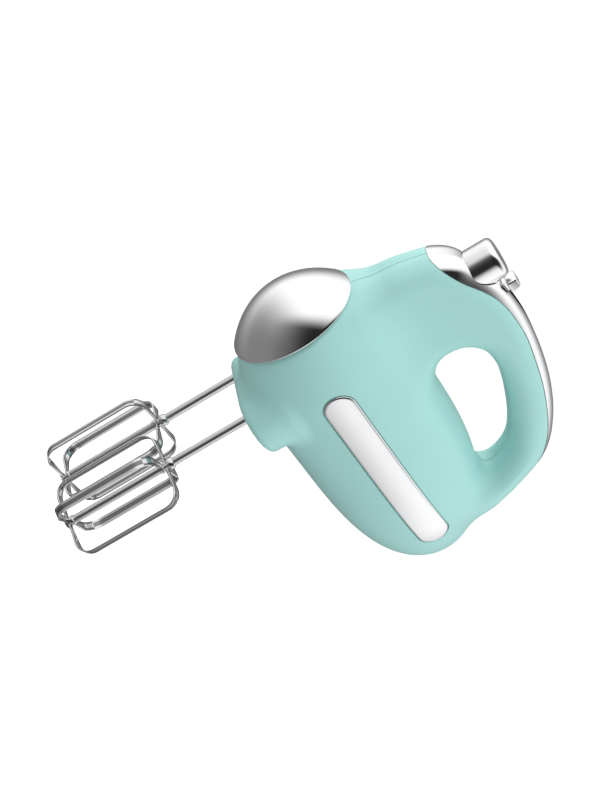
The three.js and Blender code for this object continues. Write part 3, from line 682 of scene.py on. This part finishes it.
def make_spring():
    """The eject spring under the button, as a fixed coil at its rest length."""
    low, high = SPRING["low"], SPRING["high"]
    per_turn, sides = 24, 10
    points, faces = [], []
    count = SPRING["turns"] * per_turn
    for i in range(count + 1):
        angle = 2 * math.pi * i / per_turn
        along = math.cos(angle), math.sin(angle)
        for j in range(sides):
            around = 2 * math.pi * j / sides
            out = SPRING["radius"] + SPRING["wire"] * math.cos(around)
            points.append((BUTTON["x"] + out * along[0], out * along[1],
                           low + (high - low) * i / count + SPRING["wire"] * math.sin(around)))
    for i in range(count):
        for j in range(sides):
            k = (j + 1) % sides
            faces.append((i * sides + j, i * sides + k, (i + 1) * sides + k, (i + 1) * sides + j))
    faces += [tuple(range(sides)), tuple(range(count * sides, (count + 1) * sides))]
    obj = new_object("eject_coil", points, faces)
    fix_normals(obj)
    smooth(obj, 50)
    finish_piece(obj, "steel", "housing", "eject_spring")
    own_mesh(obj)


def make_selector():
    """The thumb tab: a stem through the slot under a rounded pad, dipped slightly in the middle of its top."""
    low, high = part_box("speed_selector")
    low, high = (np.array(v) * 1000 - ORIGIN for v in (low, high))
    x0, x1, top = low[0], high[0], high[2]
    middle = (x0 + x1) / 2
    pad_low = 162.6
    made = bmesh.new()
    half_x = np.array([x1 - x0, 12.0, top - pad_low]) / 2
    bmesh.ops.create_cube(made, size=1.0)
    for vertex in made.verts:
        taper = 0.8 if vertex.co.z > 0 else 1.0
        vertex.co = Vector((vertex.co.x * 2 * half_x[0] * taper, vertex.co.y * 2 * half_x[1] * taper,
                            vertex.co.z * 2 * half_x[2]))
    bmesh.ops.bevel(made, geom=list(made.edges), offset=1.3, segments=5, affect="EDGES", profile=0.6)
    for vertex in made.verts:
        if vertex.co.z > 0:
            vertex.co.z -= 0.05 * vertex.co.x ** 2 * (1 if abs(vertex.co.x) < 2 else 0)
    made.verts.index_update()
    points = [(v.co.x + middle, v.co.y, v.co.z + (top + pad_low) / 2) for v in made.verts]
    pad = new_object("selector_tab", points, [[v.index for v in f.verts] for f in made.faces])
    made.free()
    stem = block(middle - 3, middle + 3, -2.6, 2.6, 152.7, pad_low + 1)
    boolean(pad, stem, "UNION")
    smooth(pad, 40)
    finish_piece(pad, "chrome", "selector", "speed_selector")


# ---- Beaters -------------------------------------------------------------------------------------

def strip_path(inset, per_corner=12):
    """Centre line of one bent strip in its own plane, with the direction that faces outward."""
    half = BEATER["radius"] - BEATER["thickness"] / 2
    low = BEATER["tip"] + 2 + inset + BEATER["thickness"] / 2
    high = BEATER["tip"] + BEATER["cage"] - 2 - inset - BEATER["thickness"] / 2
    radius = BEATER["corner"]
    made = []
    corners = ((half - radius, low + radius, -90), (half - radius, high - radius, 0),
               (radius - half, high - radius, 90), (radius - half, low + radius, 180))
    for cx, cz, start in corners:
        for i in range(per_corner + 1):
            angle = math.radians(start + 90 * i / per_corner)
            out = np.array([math.cos(angle), math.sin(angle)])
            made.append((np.array([cx, cz]) + radius * out, out))
    full = []
    for (p, n), (q, m) in zip(made, made[1:] + made[:1]):
        pieces = max(1, int(np.linalg.norm(q - p) / 3))
        for i in range(pieces):
            t = i / pieces
            out = n * (1 - t) + m * t
            full.append((p * (1 - t) + q * t, out / np.linalg.norm(out)))
    return full


def make_strip(name, y, azimuth, inset):
    """One strip, swept as a thin rounded section; its arms narrow and crease towards the hub."""
    turn = math.radians(azimuth)
    flat = np.array([math.cos(turn), math.sin(turn), 0])
    side = np.array([-math.sin(turn), math.cos(turn), 0])
    up = np.array([0, 0, 1.0])
    half_thick = BEATER["thickness"] / 2
    points = []
    path = strip_path(inset)
    section = [(-1, 0), (-0.93, 1), (-0.45, 1), (0, 1), (0.45, 1), (0.93, 1), (1, 0), (0.93, -1), (0.45, -1),
               (0, -1), (-0.45, -1), (-0.93, -1)]
    for place, out in path:
        reach = abs(place[0]) / BEATER["radius"]
        on_arm = abs(out[1]) ** 4
        narrow = np.clip((reach - 0.12) / 0.5, 0, 1)
        half_width = BEATER["width"] / 2 * (1 - on_arm * 0.55 * (1 - narrow))
        crease = 0.9 * on_arm * (1 - narrow)
        centre = flat * place[0] + up * place[1] + np.array([0, y, 0])
        outward = flat * out[0] + up * out[1]
        for w, t in section:
            lift = half_thick * t - crease * (1 - abs(w))
            points.append(centre + side * (w * half_width) + outward * lift)
    count = len(section)
    faces = []
    for i in range(len(path)):
        k = (i + 1) % len(path)
        for j in range(count):
            m = (j + 1) % count
            faces.append((i * count + j, i * count + m, k * count + m, k * count + j))
    obj = new_object(name, points, faces)
    fix_normals(obj)
    smooth(obj, 40)
    # Faces for the darker steel copy, a painted dark reflection band: the middle of the flat faces where the
    # strip runs up and down, and their edges where it runs across.
    satin = []
    for i, (place, out) in enumerate(path):
        for j, (w, t) in enumerate(section):
            middle = abs(w + section[(j + 1) % count][0]) < 0.8
            flat_face = abs(t) == 1 and section[(j + 1) % count][1] == t
            if flat_face and middle != (abs(out[1]) > 0.7):
                satin.append(i * count + j)
    obj["satin"] = satin
    return obj


def make_beaters():
    for side, sign in (("left", -1), ("right", 1)):
        y = sign * BEATER_Y
        body = f"{side}_beater"
        for kind, extra, inset in (("outer", 0, 0.0), ("cross", 90, BEATER["thickness"] + 0.3)):
            obj = make_strip(f"{side}_{kind}_wire", y, BEATER_AZIMUTH[side] + extra, inset)
            finish_piece(obj, "steel", body, f"{side}_beater_{kind}_strip")
            # The marked faces take the darker steel copy: painted dark reflection bands.
            obj.data.materials.append(DARK_REFLECTION_STEEL)
            for index in obj["satin"]:
                obj.data.polygons[index].material_index = 1
            del obj["satin"]
        tip, top, hub, shaft = BEATER["tip"], BEATER["top"], BEATER["hub"], BEATER["shaft"]
        top_hub = tip + BEATER["cage"]
        profile = [
            (0, tip + 0.8), (1.6, tip + 0.8), (hub - 0.4, tip + 1.0), (hub, tip + 1.4),
            (hub - 0.2, tip + 1.8), (shaft, tip + 2.0), (shaft, tip + 4.6), (hub - 0.5, tip + 4.9),
            (hub - 0.5, tip + 6.2), (shaft, tip + 6.8)]
        profile += [(shaft, z) for z in np.arange(tip + 12, top_hub - 8, 8)]
        profile += [
            (shaft, top_hub - 7), (hub - 0.5, top_hub - 6.5), (hub - 0.5, top_hub - 5.2),
            (shaft, top_hub - 4.8), (shaft, top_hub - 1.6), (hub - 0.3, top_hub - 1.2), (hub, top_hub - 0.4),
            (hub, top_hub + 1.4), (hub - 0.4, top_hub + 2.2), (shaft, top_hub + 3.0)]
        profile += [(shaft, z) for z in np.arange(top_hub + 8, top - 6, 8)]
        profile += [(shaft, top - 4), (shaft - 0.8, top - 3.2), (shaft - 0.8, top - 2.4), (shaft, top - 1.6),
                    (shaft - 0.3, top - 0.6), (1.2, top), (0, top)]
        rod_piece = lathe(f"{side}_beater_rod", profile, (0, y, 0), "z", 40)
        smooth(rod_piece, 30)
        finish_piece(rod_piece, "steel", body, f"{side}_beater_shaft")


# ---- Stage, lights and camera --------------------------------------------------------------------

CAMERA_AZIMUTH = -38.0
CAMERA_ELEVATION = 11.0
CAMERA_ROLL = 60.1
CAMERA_DISTANCE = 1100.0
CAMERA_TARGET = (55.0, 0.0, 45.0)
LENS = 84.16485
SENSOR = 36.0
AIM_OFFSET = (33.22943, -10.82162)


def camera_axes():
    a, e = math.radians(CAMERA_AZIMUTH), math.radians(CAMERA_ELEVATION)
    back = Vector((math.sin(a) * math.cos(e), -math.cos(a) * math.cos(e), math.sin(e)))
    right = Vector((math.cos(a), math.sin(a), 0))
    up = back.cross(right)
    roll = math.radians(CAMERA_ROLL)
    return back, right * math.cos(roll) + up * math.sin(roll), up * math.cos(roll) - right * math.sin(roll)


def make_camera():
    """Stands CAMERA_DISTANCE from the target and looks AIM_OFFSET aside of it, in millimetres."""
    back, right, up = camera_axes()
    data = bpy.data.cameras.new("camera")
    data.sensor_width = SENSOR
    data.lens = LENS
    data.clip_start = 0.05
    data.clip_end = 50
    camera = bpy.data.objects.new("camera", data)
    target = Vector(to_row([CAMERA_TARGET])[0])
    camera.location = target + back * (CAMERA_DISTANCE / 1000)
    aside = right * AIM_OFFSET[0] + up * AIM_OFFSET[1]
    backward = (back + aside / CAMERA_DISTANCE).normalized()
    right = up.cross(backward).normalized()
    up = backward.cross(right)
    camera.rotation_mode = "QUATERNION"
    camera.rotation_quaternion = Matrix((right, up, backward)).transposed().to_quaternion()
    bpy.context.scene.collection.objects.link(camera)
    bpy.context.scene.camera = camera


def area_light(name, direction, watts, distance=1.4, size=0.9):
    data = bpy.data.lights.new(name, "AREA")
    data.shape = "DISK"
    data.size = size
    data.energy = watts
    light = bpy.data.objects.new(name, data)
    centre = (CAD_LOW + CAD_HIGH) / 2
    direction = Vector(direction).normalized()
    light.location = centre + direction * distance
    light.visible_glossy = False
    light.rotation_mode = "QUATERNION"
    light.rotation_quaternion = direction.to_track_quat("Z", "Y")
    bpy.context.scene.collection.objects.link(light)


# Dark parts of the studio, which chrome and steel show. Each has a depth and a list of fades: a direction
# as seen in the picture (right, up, towards the camera), and the cosines to it where the shade starts and
# where it is full.
SHADES = [
    (0.98, [((0.36, -0.18, 0.91), 0.05, 0.93), ((0.0, 1.0, 0.0), 0.48, 0.08),
            ((0.0, 1.0, 0.0), -0.95, -0.60)]),
    (0.80, [((-0.85, -0.45, 0.10), -0.10, 0.95)]),
    (0.80, [((0.0, 0.0, -1.0), 0.25, 0.92)]),
]
GLOSSY_LIGHT = 1.15
DIFFUSE_LIGHT = 0.57


def seen(right, up, toward):
    """A world direction from its parts along the picture's right, the picture's up and the camera."""
    back_axis, right_axis, up_axis = camera_axes()
    return (right_axis * right + up_axis * up + back_axis * toward).normalized()


def make_world():
    """A white studio with a few soft dark areas that only reflections see."""
    world = bpy.data.worlds.new("studio")
    bpy.context.scene.world = world
    world.use_nodes = True
    nodes, links = world.node_tree.nodes, world.node_tree.links
    place = nodes.new("ShaderNodeTexCoord")

    def multiplied(a, b):
        product = nodes.new("ShaderNodeMath")
        product.operation = "MULTIPLY"
        links.new(a, product.inputs[0])
        links.new(b, product.inputs[1])
        return product.outputs["Value"]

    def faded(value, start, end, low, high, kind="SMOOTHSTEP"):
        fade = nodes.new("ShaderNodeMapRange")
        fade.interpolation_type = kind
        backwards = end < start
        for name, number in (("From Min", min(start, end)), ("From Max", max(start, end)),
                             ("To Min", high if backwards else low), ("To Max", low if backwards else high)):
            fade.inputs[name].default_value = number
        links.new(value, fade.inputs["Value"])
        return fade.outputs["Result"]

    level = None
    for depth, fades in SHADES:
        amount = None
        for direction, start, end in fades:
            dot = nodes.new("ShaderNodeVectorMath")
            dot.operation = "DOT_PRODUCT"
            dot.inputs[1].default_value = seen(*direction)
            links.new(place.outputs["Generated"], dot.inputs[0])
            part = faded(dot.outputs["Value"], start, end, 0.0, 1.0)
            amount = part if amount is None else multiplied(amount, part)
        shade = faded(amount, 0.0, 1.0, 1.0, 1.0 - depth, "LINEAR")
        level = shade if level is None else multiplied(level, shade)
    reflected = nodes["Background"]
    links.new(level, reflected.inputs["Color"])
    reflected.inputs["Strength"].default_value = GLOSSY_LIGHT
    path = nodes.new("ShaderNodeLightPath")
    result = reflected
    for ray, strength in (("Is Diffuse Ray", DIFFUSE_LIGHT), ("Is Camera Ray", 1.05)):
        plain = nodes.new("ShaderNodeBackground")
        plain.inputs["Strength"].default_value = strength
        plain.inputs["Color"].default_value = (1, 1, 1, 1)
        either = nodes.new("ShaderNodeMixShader")
        links.new(path.outputs[ray], either.inputs["Fac"])
        links.new(result.outputs[0], either.inputs[1])
        links.new(plain.outputs["Background"], either.inputs[2])
        result = either
    links.new(result.outputs[0], nodes["World Output"].inputs["Surface"])


def make_stage():
    size = 6.0
    height = CAD_LOW.z - 0.35
    mesh = bpy.data.meshes.new("floor")
    corners = [(-size, -size, height), (size, -size, height), (size, size, height), (-size, size, height)]
    mesh.from_pydata(corners, [], [(0, 1, 2, 3)])
    floor = bpy.data.objects.new("floor", mesh)
    bpy.context.scene.collection.objects.link(floor)
    pale = material("pale_floor", (0.93, 0.93, 0.93), 0.8, grain=40, bump=0.0001, vary=0.005)
    shader = pale.node_tree.nodes["Principled BSDF"]
    shader.inputs["Emission Color"].default_value = (1, 1, 1, 1)
    shader.inputs["Emission Strength"].default_value = 0.45
    mesh.materials.append(pale)
    floor.visible_glossy = False
    floor.visible_diffuse = False


make_camera()
make_world()
make_stage()
area_light("key", seen(0.40, 0.74, 0.54), 9.0)
area_light("back", seen(0.1, 0.85, -0.5), 10.0)
area_light("low", seen(0.65, -0.75, 0.1), 8.0)
bpy.context.scene.view_settings.view_transform = "Standard"

dress_cad_nodes()
make_housings()
make_trim()
make_nose_cap()
make_side_strips()
make_button()
make_spring()
make_selector()
make_beaters()
